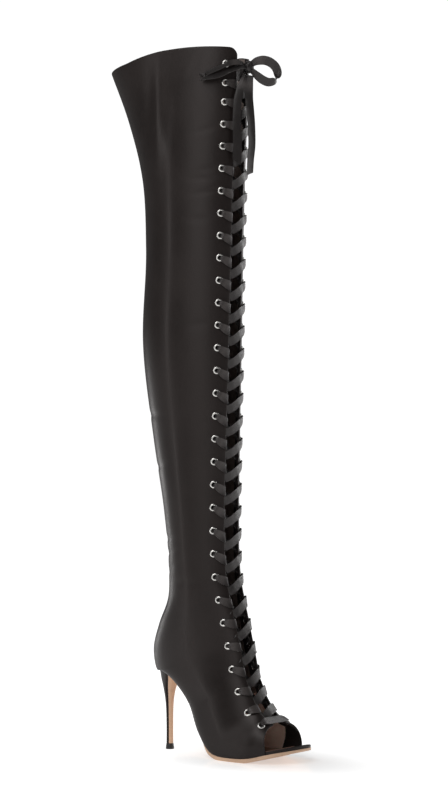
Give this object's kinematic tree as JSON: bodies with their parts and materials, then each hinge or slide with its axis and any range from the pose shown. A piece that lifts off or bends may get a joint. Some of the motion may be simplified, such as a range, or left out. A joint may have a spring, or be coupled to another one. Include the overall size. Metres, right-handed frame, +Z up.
{
  "type": "lace-up boot",
  "caption": "Thigh-high lace-up boot for the right foot, with an open laced front, peep toe, ribbon bow and stiletto heel.",
  "frame": {"origin": "on the floor, under the ball of the foot, on the outsole's flat tread", "axes": "+X to the toe, +Y to the medial (inner) side of this right boot, +Z up"},
  "size_m": [0.2825, 0.1158, 0.8486],
  "materials": {
    "upper": "matte stretch leather, black",
    "facing": "matte, black",
    "eyelets": "polished, silver",
    "lining": "matte, brown",
    "insole": "matte, brown, with a black covered edge",
    "outsole": "smooth, tan",
    "heel": "covered, black",
    "top_piece": "hard, black",
    "lace": "satin ribbon, black"
  },
  "bodies": {
    "root": {"upper": "upper", "facing_lateral": "facing", "facing_medial": "facing", "insole": "insole", "outsole": "outsole", "heel": "heel", "top_piece": "top_piece", "lace_crossings": "lace", "lace_knot": "lace", "lace_loop_lateral": "lace", "lace_loop_medial": "lace", "lace_end_lateral": "lace", "lace_end_medial": "lace"}
  },
  "joints": []
}
